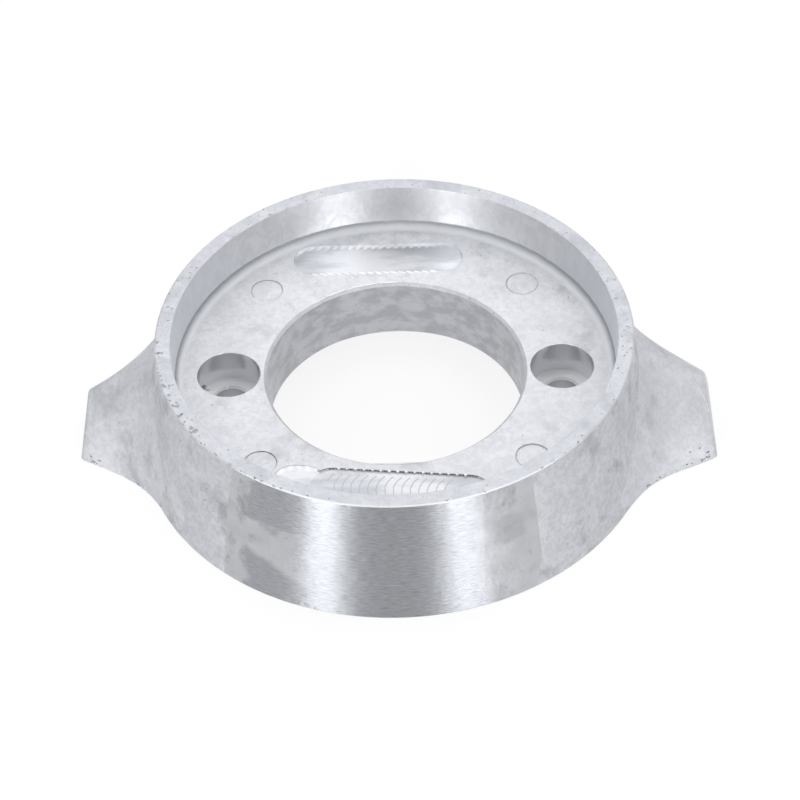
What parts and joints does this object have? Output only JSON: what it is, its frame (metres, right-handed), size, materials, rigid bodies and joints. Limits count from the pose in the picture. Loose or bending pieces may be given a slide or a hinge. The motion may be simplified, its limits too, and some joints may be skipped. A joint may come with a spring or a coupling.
{
  "type": "sacrificial anode",
  "caption": "Cast collar anode: drafted ring with shaft bore, hub recess, sunk screw holes and streamlined side fins, protecting a sterndrive gearcase.",
  "frame": {"origin": "on the shaft axis, in the plane of the mounting face", "axes": "+Z along the shaft axis, away from the mounting face and out of the hub recess; +X through both screw holes towards the thicker fin"},
  "size_m": [0.1764, 0.1424, 0.036],
  "materials": {
    "cast_metal": "bright as-cast metal, turned on the outer wall and worn at the rim"
  },
  "bodies": {
    "root": {"collar_anode": "cast_metal"}
  },
  "joints": []
}
